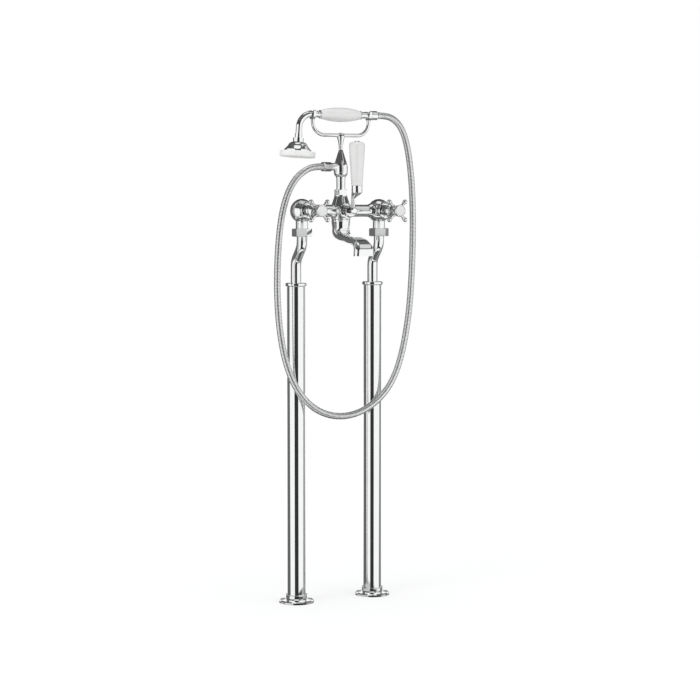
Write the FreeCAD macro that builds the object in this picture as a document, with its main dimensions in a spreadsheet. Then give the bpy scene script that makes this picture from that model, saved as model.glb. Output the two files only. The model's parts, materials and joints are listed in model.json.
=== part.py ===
"""Floor standing bath filler: two standpipes carry a bath and shower mixer with a cradled handset.

Millimetres. +X is the user's right (cold side), -Y the front, +Z up. The origin lies on the floor,
midway between the two supply pipes. "Forward" below is measured towards -Y from the mixer plane.
"""

import FreeCAD, Part
import math
import os
import re

import Sketcher
from FreeCAD import Placement, Rotation, Vector

os.makedirs("parts", exist_ok=True)
doc = FreeCAD.newDocument("bath_filler")

# ---------------------------------------------------------------- driving dimensions
SIZES = {
    # supply pipes and standpipes
    "pipe_centres": 180,
    "pipe_offset": 28,
    "pipe_od": 22,
    "pipe_wall": 1.1,
    "pipe_bend_radius": 28,
    "pipe_bend_angle": 42,
    "pipe_top_straight": 8,
    "pipe_collar_od": 26,
    "pipe_collar_thickness": 2,
    "stand_od": 38,
    "stand_wall": 1.5,
    "stand_drop": 156,
    "fit_gap": 0.1,
    "run_gap": 0.35,
    "edge_break": 1,
    "soft_edge": 2,
    # floor plate and its cover
    "plate_margin": 3.5,
    "plate_thickness": 5,
    "plate_spigot": 30,
    "screw_margin": 7.5,
    "screw_count": 3,
    "screw_hole": 5.2,
    "screw_head": 9.6,
    "screw_head_depth": 2.2,
    "flange_od": 73,
    "flange_rim": 5,
    "flange_rise": 7.6,
    "flange_wall": 1.2,
    "flange_boss_od": 46,
    "flange_boss_height": 17,
    "flange_boss_round": 1.5,
    "flange_boss_groove": 0.8,
    "cover_gap": 0.3,
    # collar that closes the top of a standpipe
    "collar_od": 45,
    "collar_height": 8,
    "collar_skirt": 8,
    "collar_edge": 3,
    # mixer body
    "valve_height": 816,
    "bulb_radius": 25,
    "bulb_wall": 3,
    "bar_od": 26,
    "bar_bore": 21,
    "flare_start": 30,
    "flare_angle": 40,
    "flare_radius": 20,
    "barrel_od": 42,
    "barrel_bore": 32,
    "barrel_below": 19,
    "barrel_above": 10,
    "cone_top": 32,
    "cone_top_od": 28,
    "barrel_floor": 4,
    "barrel_outlet_od": 27.2,
    "tail_od": 26.4,
    "tail_bore": 20,
    "tail_drop": 46,
    "valve_seat_od": 30,
    "valve_seat_forward": 26,
    "valve_bore": 24,
    "valve_depth": 14,
    "diverter_seat_od": 26,
    "diverter_seat_forward": 24,
    "diverter_bore": 20,
    "diverter_depth": 10,
    # union nuts
    "nut_flats": 36,
    "nut_lip": 3,
    "nut_thread_cover": 10,
    "nut_chamfer": 1.2,
    "washer_thickness": 2,
    "washer_bore": 17,
    "check_valve_length": 20,
    "check_valve_bore": 10,
    # headworks, bonnets and spindles
    "bonnet_od": 26,
    "bonnet_flange_od": 32,
    "bonnet_flange": 4,
    "bonnet_bead": 1.2,
    "bonnet_end": 52,
    "bonnet_wall": 1.6,
    "bonnet_cap": 4,
    "headwork_neck_od": 15,
    "spindle_od": 8,
    "spindle_start": 6,
    "spindle_gap": 0.08,
    "handle_screw_od": 4,
    "handle_screw_grip": 14,
    "handle_screw_head_od": 7.6,
    "handle_screw_head": 3,
    "screw_web": 3,
    "screw_gap": 0.2,
    # cross handles
    "handle_gap": 0.6,
    "skirt_od": 27,
    "skirt_length": 3.5,
    "neck_od": 19,
    "neck_forward": 65,
    "hub_od": 25,
    "hub_rear_od": 22,
    "arm_forward": 78,
    "hub_front": 92.5,
    "hub_rim": 2.5,
    "spindle_socket": 20,
    "index_od": 21,
    "index_recess": 3,
    "index_rise": 1.5,
    "index_edge": 0.4,
    "index_slope": 1.4,
    "arm_reach": 31,
    "arm_root_od": 6.6,
    "arm_waist_od": 5.2,
    "arm_ball_od": 9.6,
    "arm_ring_od": 7.4,
    "arm_ring": 1.6,
    "arm_count": 4,
    # diverter lever
    "diverter_bonnet_od": 25,
    "diverter_bonnet_end": 46,
    "lever_hub_od": 14,
    "lever_hub_front": 62,
    "lever_stem_forward": 54,
    "lever_stem_od": 9.2,
    "lever_stem_top": 25,
    "lever_waist_od": 8,
    "lever_grip_forward": 71,
    "ferrule_base": 37,
    "ferrule_top": 51,
    "ferrule_od": 22.6,
    "grip_base_od": 23.6,
    "grip_top_od": 33.6,
    "grip_crown": 140,
    "grip_shoulder_radius": 8,
    "lever_rod_od": 8,
    "lever_rod_gap": 2,
    "lever_cap_od": 13,
    "lever_cap_seat": 4,
    "lever_cap_rise": 2.5,
    "lever_cap_edge": 1.9,
    # riser and column
    "riser_nut_flats": 27,
    "riser_nut_height": 12,
    "riser_od": 19,
    "riser_wall": 1.5,
    "riser_seat": 6,
    "column_base": 68,
    "column_neck_od": 21,
    "column_socket": 8,
    "column_neck": 2,
    "drop_round": 12,
    "drop_od": 30,
    "drop_height": 20,
    "crown_radius": 32,
    "crown_rise": 10,
    "waist_od": 8.6,
    "waist_round": 14,
    "column_top": 81.5,
    "column_top_od": 15,
    "column_top_rim": 1.5,
    "column_bore": 12,
    "outlet_rise": 22.5,
    "outlet_spigot_od": 16.4,
    "outlet_spigot_end": 33,
    "outlet_bore": 9,
    # cradle
    "rod_od": 7.6,
    "rod_rise": 6,
    "rod_bend": 27,
    "fork_centres": 130,
    "fork_width": 5.5,
    "fork_wall": 4.2,
    "fork_tip": 8.2,
    "fork_flare": 1.2,
    "boss_od": 16,
    "boss_crown": 5.4,
    "boss_rim": 0.6,
    "stub_od": 6,
    "stub_length": 10,
    # handset
    "handset_rise": 42,
    "handset_neck_od": 13.4,
    "handset_neck_wall": 1.8,
    "gooseneck_gap": 3,
    "gooseneck_radius": 28,
    "gooseneck_turn": 86,
    "gooseneck_drop": 14,
    "grip_front_gap": 17.5,
    "grip_rear_gap": 20.5,
    "grip_belly": 30,
    "grip_end_od": 18,
    "core_od": 10,
    "core_wall": 1,
    "core_lead": 6,
    "grip_bore": 11,
    "front_collar_od": 17.5,
    "front_collar_length": 8,
    "front_collar_round": 1.6,
    "rear_ferrule_od": 18,
    "rear_waist_od": 13.8,
    "rear_ferrule_gap": 4,
    "ferrule_bead": 2,
    "rear_spigot_gap": 5.5,
    "rear_spigot_length": 10.5,
    # rose
    "rose_neck_od": 15.6,
    "rose_neck_length": 9,
    "rose_collar_od": 22.4,
    "rose_collar_drop": 17,
    "rose_dome_radius": 13,
    "rose_shoulder_od": 43,
    "rose_shoulder_drop": 25.5,
    "rose_bell_od": 58,
    "rose_bell_drop": 36,
    "rose_wall": 2,
    "face_od": 74,
    "face_thickness": 12,
    "face_step": 3,
    "face_plate": 3,
    "jet_bore": 2.4,
    "jet_inner_pcd": 18,
    "jet_outer_pcd": 38,
    "jet_inner_count": 6,
    "jet_outer_count": 12,
    "gasket_od": 52,
    "gasket_thickness": 1.6,
    "gasket_width": 2.9,
    "gasket_ledge": 4,
    # hose and its nuts
    "hose_od": 14,
    "hose_bore": 8,
    "hose_nut_flats": 16.8,
    "hose_nut_end": 43,
    "hose_nut_length": 20,
    "hose_nut_ring_od": 19.6,
    "hose_nut_ring": 4,
    "hose_washer": 1.5,
    "tail_flange": 1.5,
    "tail_tube_od": 7.8,
    "tail_tube_wall": 0.9,
    "tail_insert": 8,
    "cone_nut_gap": 4.5,
    "cone_nut_length": 20.5,
    "cone_nut_od": 19.4,
    "cone_nut_end_od": 14.6,
    "cone_nut_edge": 1.5,
    "cone_nut_slope": 4,
    "cone_nut_sleeve": 3,
    # spout
    "spout_root_od": 40,
    "spout_root_flange": 3,
    "spout_throat_od": 36,
    "spout_throat_drop": 36,
    "spout_bend_run": 25,
    "spout_bend_depth": 23,
    "spout_level": 54.7,
    "spout_fall": 8,
    "spout_mid_width": 31,
    "spout_mid_height": 17,
    "spout_flat_width": 33,
    "spout_flat_height": 16,
    "spout_nose_radius": 24.5,
    "spout_nose_width": 38,
    "spout_nose_height": 18,
    "spout_reach": 99.5,
    "spout_mouth_drop": 91.5,
    "spout_mouth_width": 44,
    "spout_mouth_depth": 19.5,
    "spout_corner": 0.46,
    "spout_round": 0.49,
    "spout_wall": 2.4,
    "insert_height": 4,
    "insert_wall": 1.4,
    "insert_corner": 2.8,
    "insert_bar": 2,
}

sheet = doc.addObject("Spreadsheet::Sheet", "sizes")
for row, (alias, size) in enumerate(SIZES.items(), start=1):
    sheet.set(f"A{row}", alias)
    sheet.set(f"B{row}", str(size))
    sheet.setAlias(f"B{row}", alias)
doc.recompute()

# Derived heights, as formulas of the cells above.
STAND_TOP = "(valve_height - stand_drop)"
TAIL_END = "(valve_height - tail_drop)"
PIPE_TOP = f"({TAIL_END} - washer_thickness)"
NUT_BOTTOM = f"({PIPE_TOP} - pipe_collar_thickness - nut_lip)"
NUT_TOP = f"({TAIL_END} + nut_thread_cover)"
COLUMN_BASE = "(valve_height + column_base)"
OUTLET_HEIGHT = f"({COLUMN_BASE} + outlet_rise)"
COLUMN_TOP = f"({COLUMN_BASE} + column_top)"
ROD_HEIGHT = f"({COLUMN_TOP} + rod_rise)"
HANDSET_HEIGHT = f"({ROD_HEIGHT} + handset_rise)"

# Places along the handset, measured from the middle between the cradle's forks.
GRIP_FRONT = "(fork_centres/2 - grip_front_gap)"
COLLAR_FRONT = f"({GRIP_FRONT} + front_collar_length)"
GRIP_REAR = "(fork_centres/2 - grip_rear_gap)"
FERRULE_END = "(fork_centres/2 - rear_ferrule_gap)"
SPIGOT_START = "(fork_centres/2 + rear_spigot_gap)"
SPIGOT_END = f"({SPIGOT_START} + rear_spigot_length)"
CONE_NUT_START = "(fork_centres/2 + cone_nut_gap)"
CONE_NUT_END = f"({CONE_NUT_START} + cone_nut_length)"
BEND_START = "(fork_centres/2 + gooseneck_gap)"

# The gooseneck turns a little less than a right angle, so the rose looks slightly outwards.
BEND_END = f"({BEND_START} + gooseneck_radius*sin(gooseneck_turn))"
BEND_DROP = "(gooseneck_radius*(1 - cos(gooseneck_turn)))"
ROSE_OUT = f"({BEND_END} + gooseneck_drop*cos(gooseneck_turn))"
ROSE_DOWN = f"({BEND_DROP} + gooseneck_drop*sin(gooseneck_turn))"

FORWARD = Rotation(Vector(1, 0, 0), 90)  # a turned piece's +Z becomes -Y
RIGHT = Rotation(Vector(0, 1, 0), 90)  # +Z becomes +X
LEFT = Rotation(Vector(0, 1, 0), -90)  # +Z becomes -X
ROSE_TILT = Rotation(Vector(0, 1, 0), 90 - SIZES["gooseneck_turn"])
NUT_TURNS = {"hot": -28, "cold": -20}  # degrees at which each union nut came tight
RUN_TILT = 80  # degrees: the spout's run falls a little towards its nose

nodes = []


def bound(formula):
    """The formula with the sheet's name before each alias."""
    return re.sub(r"[a-z_]+", lambda m: f"sizes.{m[0]}" if m[0] in SIZES else m[0], str(formula))


def value(formula):
    """What a formula comes to with the sheet's present sizes."""
    return float(sheet.evalExpression(bound(formula)))


# ---------------------------------------------------------------- modelling helpers
def new_body(node, at=("0", "0", "0"), turn=None):
    """A body with its label, placed at three formulas and turned."""
    body = doc.addObject("PartDesign::Body", node)
    body.Label = node
    body.Placement = Placement(Vector(*[value(v) for v in at]), turn or Rotation())
    for axis, formula in zip("xyz", at):
        body.setExpression(f"Placement.Base.{axis}", bound(formula))
    nodes.append(body)
    return body


def new_sketch(body, plane, offset=("0", "0", "0"), turn=None):
    """A sketch on one of the body's own planes, moved off it by three formulas."""
    sketch = body.newObject("Sketcher::SketchObject", "sketch")
    base = next(o for o in body.Origin.OriginFeatures if o.Role == plane)
    sketch.AttachmentSupport = [(base, "")]
    sketch.MapMode = "FlatFace"
    sketch.AttachmentOffset = Placement(Vector(*[value(v) for v in offset]), turn or Rotation())
    for axis, formula in zip("xyz", offset):
        if str(formula) != "0":
            sketch.setExpression(f"AttachmentOffset.Base.{axis}", bound(formula))
    return sketch


def bind(sketch, constraint, formula):
    """Adds a constraint whose size is a formula."""
    index = sketch.addConstraint(constraint)
    sketch.setExpression(f"Constraints[{index}]", bound(formula))


def pin(sketch, edge, end, x, y):
    """Holds one end of an edge at two formulas from the sketch's origin."""
    for kind, axis, formula in (("DistanceX", -2, x), ("DistanceY", -1, y)):
        if str(formula) == "0":
            sketch.addConstraint(Sketcher.Constraint("PointOnObject", edge, end, axis))
        else:
            size = value(formula)
            bind(sketch, Sketcher.Constraint(kind, -1, 1, edge, end, size), formula)


def outline(sketch, points, closed=True):
    """Joins points by lines, or by an arc where a point gives a radius and the side of its centre."""
    spots = [Vector(value(p[0]), value(p[1]), 0) for p in points]
    count = len(points) if closed else len(points) - 1
    ends = []
    for i in range(count):
        here, there = spots[i], spots[(i + 1) % len(points)]
        if len(points[i]) == 2:
            edge = sketch.addGeometry(Part.LineSegment(here, there), False)
            ends.append((edge, 1, 2))
            continue
        radius, side = value(points[i][2]), points[i][3]
        chord = there - here
        depth = math.sqrt(max(radius**2 - chord.Length**2 / 4, 0))
        across = Vector(-chord.y, chord.x, 0).normalize() * (depth if side == "left" else -depth)
        centre = (here + there) / 2 + across
        first, last = (here, there) if side == "left" else (there, here)
        turns = [math.atan2(p.y - centre.y, p.x - centre.x) for p in (first, last)]
        circle = Part.Circle(centre, Vector(0, 0, 1), radius)
        edge = sketch.addGeometry(Part.ArcOfCircle(circle, *turns), False)
        ends.append((edge, 1, 2) if side == "left" else (edge, 2, 1))
        bind(sketch, Sketcher.Constraint("Radius", edge, radius), points[i][2])
    for i, (edge, start, end) in enumerate(ends):
        pin(sketch, edge, start, points[i][0], points[i][1])
        if i + 1 < count or closed:
            other = ends[(i + 1) % count]
            sketch.addConstraint(Sketcher.Constraint("Coincident", edge, end, other[0], other[1]))
    if not closed:
        pin(sketch, ends[-1][0], ends[-1][2], points[-1][0], points[-1][1])
    return sketch


def ring(sketch, radius, x="0", y="0"):
    """A circle of a formula's radius, centred at two formulas."""
    middle = Vector(value(x), value(y), 0)
    edge = sketch.addGeometry(Part.Circle(middle, Vector(0, 0, 1), value(radius)), False)
    pin(sketch, edge, 3, x, y)
    bind(sketch, Sketcher.Constraint("Radius", edge, value(radius)), radius)
    return sketch


def hexagon(sketch, flats):
    """A hexagon round the sketch's origin, by its width across flats."""
    corner = f"(({flats})/sqrt(3))"
    turned_to = [f"({corner}*cos({60 * i}))" for i in range(6)]
    up = [f"({corner}*sin({60 * i}))" for i in range(6)]
    return outline(sketch, [(x, "0" if i in (0, 3) else y) for i, (x, y) in enumerate(zip(turned_to, up))])


def soft_box(sketch, width, depth, corner):
    """A rectangle with round corners, round the sketch's origin: a loft's section."""
    x, y, r = f"({width})/2", f"({depth})/2", f"({corner})"
    points = []
    for sx, sy, flip in ((1, -1, False), (1, 1, True), (-1, 1, False), (-1, -1, True)):
        beside = (f"{sx}*({x} - {r})", f"{sy}*{y}")
        above = (f"{sx}*{x}", f"{sy}*({y} - {r})")
        first, second = (above, beside) if flip else (beside, above)
        points += [(*first, r, "left"), second]
    return outline(sketch, points)


def feature(body, kind, sketch, **settings):
    """A feature of the body on a sketch; a formula among the settings is bound."""
    made = body.newObject(f"PartDesign::{kind}", kind.lower())
    if sketch is not None:
        made.Profile = (sketch, [""])
    for name, setting in settings.items():
        if isinstance(setting, str) and name in ("Length", "Angle"):
            setattr(made, name, value(setting))
            made.setExpression(name, bound(setting))
        else:
            setattr(made, name, setting)
    return made


def revolve(body, sketch, axis="V_Axis", cut=False):
    kind = "Groove" if cut else "Revolution"
    return feature(body, kind, sketch, ReferenceAxis=(sketch, [axis]), Angle=360.0)


def bore(body, plane, offset, radius, depth, x="0", y="0", reverse=False):
    """A round pocket that starts off one of the body's planes."""
    sketch = ring(new_sketch(body, plane, offset), radius, x, y)
    return feature(body, "Pocket", sketch, Length=depth, Reversed=reverse)


def turned(node, profile, at=("0", "0", "0"), turn=None):
    """A lathe-turned piece: (radius, height) points revolved round its own Z axis."""
    body = new_body(node, at, turn)
    revolve(body, outline(new_sketch(body, "XZ_Plane"), profile))
    return body


def piped(body, path_points, outer, inner, start, start_plane="XY_Plane", path_plane="YZ_Plane", turn=None):
    """A tube swept along a path of lines and tangent arcs, with its bore if inner is given."""
    for kind, radius in (("AdditivePipe", outer), ("SubtractivePipe", inner)):
        if radius is None:
            continue
        path = outline(new_sketch(body, path_plane), path_points, closed=False)
        section = ring(new_sketch(body, start_plane, start, turn), radius)
        pipe = feature(body, kind, section)
        pipe.Spine = (path, [f"Edge{i}" for i in range(1, len(path_points))])
        pipe.Mode = "Frenet"
    return body


def repeated(body, original, count):
    """The feature repeated round the body's own Z axis."""
    pattern = body.newObject("PartDesign::PolarPattern", "pattern")
    pattern.Originals = [original]
    axis = next(o for o in body.Origin.OriginFeatures if o.Role == "Z_Axis")
    pattern.Axis = (axis, [""])
    pattern.Angle = 360.0
    pattern.Occurrences = int(value(count))
    pattern.setExpression("Occurrences", bound(count))
    body.Tip = pattern
    return pattern


# ---------------------------------------------------------------- stand: floor plate to union nut
def floor_plate(name, x):
    """Screwed to the floor under the cover; its spigot holds the standpipe upright."""
    rim = "(flange_od/2 - plate_margin)"
    inner, spigot = "(pipe_od/2 + fit_gap)", "(stand_od/2 - stand_wall - fit_gap)"
    body = turned(
        f"{name}_floor_plate",
        [
            (inner, "0"),
            (rim, "0"),
            (rim, "plate_thickness"),
            (spigot, "plate_thickness"),
            (spigot, "plate_spigot"),
            (inner, "plate_spigot"),
        ],
        (x, "0", "0"),
    )
    head, hole = "screw_head/2", "screw_hole/2"
    sketch = new_sketch(body, "XZ_Plane")
    depth = "(plate_thickness - screw_head_depth)"
    centre = f"({rim} - screw_margin)"
    outline(
        sketch,
        [
            (centre, "0"),
            (f"{centre} + {hole}", "0"),
            (f"{centre} + {hole}", depth),
            (f"{centre} + {head}", "plate_thickness"),
            (centre, "plate_thickness"),
        ],
    )
    ends = Vector(value(centre), 0, 0), Vector(value(centre), value("plate_thickness"), 0)
    axis = sketch.addGeometry(Part.LineSegment(*ends), True)
    pin(sketch, axis, 1, centre, "0")
    pin(sketch, axis, 2, centre, "plate_thickness")
    hole_cut = feature(body, "Groove", sketch, ReferenceAxis=(sketch, ["Axis0"]), Angle=360.0)
    repeated(body, hole_cut, "screw_count")


def floor_flange(name, x):
    """Pressed cover that rests on the floor over the plate, with a raised boss round the standpipe."""
    inner = "(stand_od/2 + fit_gap)"
    boss, crown = "flange_boss_od/2", "flange_boss_round"
    edge, groove = "(flange_rise - flange_rim)", "(flange_boss_od/2 - flange_boss_groove)"
    turned(
        f"{name}_floor_flange",
        [
            ("flange_od/2 - flange_wall", "0"),
            ("flange_od/2", "0"),
            ("flange_od/2", "flange_rim - edge_break"),
            (f"flange_od/2 - {edge}", "flange_rim + edge_break"),
            (f"{boss} + edge_break", "flange_rise"),
            (boss, "flange_rise + edge_break"),
            (groove, "flange_rise + edge_break + flange_boss_groove"),
            (groove, f"flange_boss_height - {crown} - flange_boss_groove"),
            (boss, f"flange_boss_height - {crown}", crown, "left"),
            (f"{boss} - {crown}", "flange_boss_height"),
            (inner, "flange_boss_height"),
            (inner, "flange_rise - flange_wall"),
            (f"flange_od/2 - {edge}", "plate_thickness + cover_gap"),
            ("flange_od/2 - flange_wall", "flange_rim - flange_wall"),
        ],
        (x, "0", "0"),
    )


def standpipe(name, x):
    wall, outer = "(stand_od/2 - stand_wall)", "stand_od/2"
    profile = [(wall, "plate_thickness"), (outer, "plate_thickness"), (outer, STAND_TOP), (wall, STAND_TOP)]
    turned(f"{name}_standpipe", profile, (x, "0", "0"))


def standpipe_collar(name, x):
    """Closes the standpipe round the supply pipe, with a skirt inside the tube."""
    inner, skirt = "(pipe_od/2 + fit_gap)", "(stand_od/2 - stand_wall - fit_gap)"
    outer, top = "collar_od/2", f"({STAND_TOP} + collar_height)"
    turned(
        f"{name}_standpipe_collar",
        [
            (inner, f"{STAND_TOP} - collar_skirt"),
            (skirt, f"{STAND_TOP} - collar_skirt"),
            (skirt, STAND_TOP),
            (f"{outer} - collar_edge", STAND_TOP, "collar_edge", "left"),
            (outer, f"{STAND_TOP} + collar_edge"),
            (outer, f"{top} - collar_edge/2"),
            (f"{outer} - collar_edge/2", top),
            (inner, top),
        ],
        (x, "0", "0"),
    )


def supply_pipe(name, x):
    """Plain pipe from the floor, cranked forward under the mixer, with a collar for the union nut."""
    turn = "pipe_bend_angle"
    lean = f"((pipe_offset - 2*pipe_bend_radius*(1 - cos({turn})))/sin({turn}))"
    bend_top = f"({NUT_BOTTOM} - pipe_top_straight)"
    arc_rise = f"(pipe_bend_radius*sin({turn}))"
    arc_run = f"(pipe_bend_radius*(1 - cos({turn})))"
    bend_low = f"({bend_top} - 2*{arc_rise} - {lean}*cos({turn}))"
    path = [
        ("0", "0"),
        ("0", bend_low, "pipe_bend_radius", "left"),
        (f"-{arc_run}", f"{bend_low} + {arc_rise}"),
        (f"{arc_run} - pipe_offset", f"{bend_top} - {arc_rise}", "pipe_bend_radius", "right"),
        ("-pipe_offset", bend_top),
        ("-pipe_offset", PIPE_TOP),
    ]
    body = new_body(f"{name}_supply_pipe", (x, "0", "0"))
    piped(body, path, "pipe_od/2", None, ("0", "0", "0"))
    collar = ring(new_sketch(body, "XY_Plane", ("0", "-pipe_offset", PIPE_TOP)), "pipe_collar_od/2")
    feature(body, "Pad", collar, Length="pipe_collar_thickness", Reversed=True)
    cut = outline(new_sketch(body, "YZ_Plane"), path, closed=False)
    section = ring(new_sketch(body, "XY_Plane"), "pipe_od/2 - pipe_wall")
    pipe = feature(body, "SubtractivePipe", section)
    pipe.Spine = (cut, [f"Edge{i}" for i in range(1, len(path))])
    pipe.Mode = "Frenet"


def hex_nut(node, at, turn, flats, height, bores):
    """A nut with chamfered corners; bores are (radius, start, end) along its axis."""
    body = new_body(node, at, turn)
    feature(body, "Pad", hexagon(new_sketch(body, "XY_Plane"), flats), Length=height)
    corner, flat = f"({flats}/sqrt(3))", f"({flats}/2)"
    far = f"({corner} + edge_break)"
    slope = f"(nut_chamfer*({far} - {flat})/({corner} - {flat}))"
    for level, sign in (("0", "+"), (height, "-")):
        edge = [(flat, level), (far, level), (far, f"{level} {sign} {slope}")]
        revolve(body, outline(new_sketch(body, "XZ_Plane"), edge), cut=True)
    for radius, start, end in bores:
        hole = [("0", start), (radius, start), (radius, end), ("0", end)]
        revolve(body, outline(new_sketch(body, "XZ_Plane"), hole), cut=True)
    return body


def union(name, x):
    """Nut, fibre washer and check valve between the supply pipe and the mixer's tail."""
    height = f"({NUT_TOP} - {NUT_BOTTOM})"
    hex_nut(
        f"{name}_union_nut",
        (x, "-pipe_offset", NUT_BOTTOM),
        Rotation(Vector(0, 0, 1), NUT_TURNS[name]),
        "nut_flats",
        height,
        [("pipe_od/2 + fit_gap", "0", "nut_lip"), ("tail_od/2 + fit_gap", "nut_lip", height)],
    )
    tube("washer_bore/2", "pipe_collar_od/2", PIPE_TOP, TAIL_END, f"{name}_union_washer", x)
    insert = "(tail_bore/2 - fit_gap)"
    tube(
        "check_valve_bore/2", insert, TAIL_END, f"{TAIL_END} + check_valve_length", f"{name}_check_valve", x
    )


def tube(inner, outer, low, high, node, x):
    """A plain upright ring in the mixer plane."""
    profile = [(inner, low), (outer, low), (outer, high), (inner, high)]
    turned(node, profile, (x, "-pipe_offset", "0"))


# ---------------------------------------------------------------- mixer
def mixer_body():
    """One hollow casting: bar, two round valve chambers, barrel, tails and the seats of the headworks."""
    body = new_body("mixer_body", ("0", "-pipe_offset", "valve_height"))
    ball_x = "(bulb_radius*sin(flare_angle))"
    ball_y = "(bulb_radius*cos(flare_angle))"
    valve = "pipe_centres/2"
    shell = [
        (f"-({valve} + bulb_radius)", "0", "bulb_radius", "right"),
        (f"-{valve}", "bulb_radius", "bulb_radius", "right"),
        (f"-({valve} - {ball_x})", ball_y, "flare_radius", "left"),
        (f"-({valve} - flare_start)", "bar_od/2"),
        (f"{valve} - flare_start", "bar_od/2", "flare_radius", "left"),
        (f"{valve} - {ball_x}", ball_y, "bulb_radius", "right"),
        (valve, "bulb_radius", "bulb_radius", "right"),
        (f"{valve} + bulb_radius", "0"),
    ]
    revolve(body, outline(new_sketch(body, "XZ_Plane"), shell), "H_Axis")
    barrel = [
        ("0", "-barrel_below"),
        ("barrel_od/2 - soft_edge", "-barrel_below"),
        ("barrel_od/2", "soft_edge - barrel_below"),
        ("barrel_od/2", "barrel_above"),
        ("cone_top_od/2", "cone_top - soft_edge"),
        ("cone_top_od/2", "cone_top"),
        ("0", "cone_top"),
    ]
    revolve(body, outline(new_sketch(body, "XZ_Plane"), barrel))
    for x in (f"-{valve}", valve):
        tail = ring(new_sketch(body, "XY_Plane", ("0", "0", "-tail_drop")), "tail_od/2", x)
        feature(body, "Pad", tail, Length="tail_drop - 2*bulb_wall")
    seats = ((f"-{valve}", "valve_seat"), (valve, "valve_seat"), ("0", "diverter_seat"))
    for x, seat in seats:
        disc = ring(new_sketch(body, "XZ_Plane"), f"{seat}_od/2", x)
        feature(body, "Pad", disc, Length=f"{seat}_forward")
    # Waterways: the bar, the barrel, the tails, the valve chambers and the way up to the riser.
    revolve(
        body,
        outline(
            new_sketch(body, "XZ_Plane"),
            [(f"-{valve}", "0"), (f"-{valve}", "bar_bore/2"), (valve, "bar_bore/2"), (valve, "0")],
        ),
        "H_Axis",
        cut=True,
    )
    way = [
        ("0", "-barrel_below"),
        ("barrel_outlet_od/2", "-barrel_below"),
        ("barrel_outlet_od/2", "barrel_floor - barrel_below"),
        ("barrel_bore/2", "barrel_floor - barrel_below"),
        ("barrel_bore/2", "barrel_above"),
        ("riser_od/2 + fit_gap", "cone_top - riser_seat"),
        ("riser_od/2 + fit_gap", "cone_top"),
        ("0", "cone_top"),
    ]
    revolve(body, outline(new_sketch(body, "XZ_Plane"), way), cut=True)
    for x in (f"-{valve}", valve):
        bore(body, "XY_Plane", ("0", "0", "-tail_drop"), "tail_bore/2", "tail_drop", x, reverse=True)
    for x, seat in seats:
        part = seat.replace("_seat", "")
        start = ("0", "0", f"{seat}_forward")
        bore(body, "XZ_Plane", start, f"{part}_bore/2", f"{seat}_forward + {part}_depth", x)
    return body


def headwork(name, x, part, end, bonnet_od):
    """Cartridge in its chamber, and the chrome bonnet screwed over it."""
    at = (x, "-pipe_offset", "valve_height")
    seat = f"{part}_seat_forward"
    chamber = f"({part}_bore/2 - fit_gap)"
    neck, hole = "headwork_neck_od/2", "(spindle_od/2 + spindle_gap)"
    turned(
        f"{name}_cartridge",
        [
            ("0", f"-{part}_depth"),
            (chamber, f"-{part}_depth"),
            (chamber, f"{seat} - edge_break"),
            (neck, f"{seat} + edge_break"),
            (neck, end),
            (hole, end),
            (hole, "spindle_start"),
            ("0", "spindle_start"),
        ],
        at,
        FORWARD,
    )
    outer = f"{bonnet_od}/2"
    flange = f"({outer} + (bonnet_flange_od - bonnet_od)/2)"
    cavity = f"({outer} - bonnet_wall)"
    turned(
        f"{name}_bonnet",
        [
            (cavity, seat),
            (flange, seat),
            (flange, f"{seat} + bonnet_flange - edge_break"),
            (f"{flange} - edge_break", f"{seat} + bonnet_flange"),
            (outer, f"{seat} + bonnet_flange"),
            (outer, f"{end} - bonnet_cap - 2*edge_break"),
            (f"{outer} + bonnet_bead", f"{end} - bonnet_cap - edge_break"),
            (outer, f"{end} - bonnet_cap"),
            (outer, f"{end} - edge_break"),
            (f"{outer} - edge_break", end),
            (f"{neck} + fit_gap", end),
            (f"{neck} + fit_gap", f"{end} - bonnet_wall"),
            (cavity, f"{end} - bonnet_cap"),
        ],
        at,
        FORWARD,
    )


def spindle(node, x, end, screw):
    """Steel spindle from the cartridge into the handle, tapped for the handle's screw."""
    radius, drill = "spindle_od/2", "(handle_screw_od/2 + fit_gap/2)"
    profile = [("0", "spindle_start + fit_gap"), (radius, "spindle_start + fit_gap"), (radius, end)]
    tapped = [(drill, end), (drill, f"{end} - {screw}"), ("0", f"{end} - {screw}")]
    profile += tapped if screw else [("0", end)]
    turned(node, profile, (x, "-pipe_offset", "valve_height"), FORWARD)


SOCKET_END = "(bonnet_end + handle_gap + spindle_socket)"
INDEX_SEAT = "(hub_front - index_recess)"
SCREW_SEAT = f"({SOCKET_END} + screw_web)"


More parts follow.
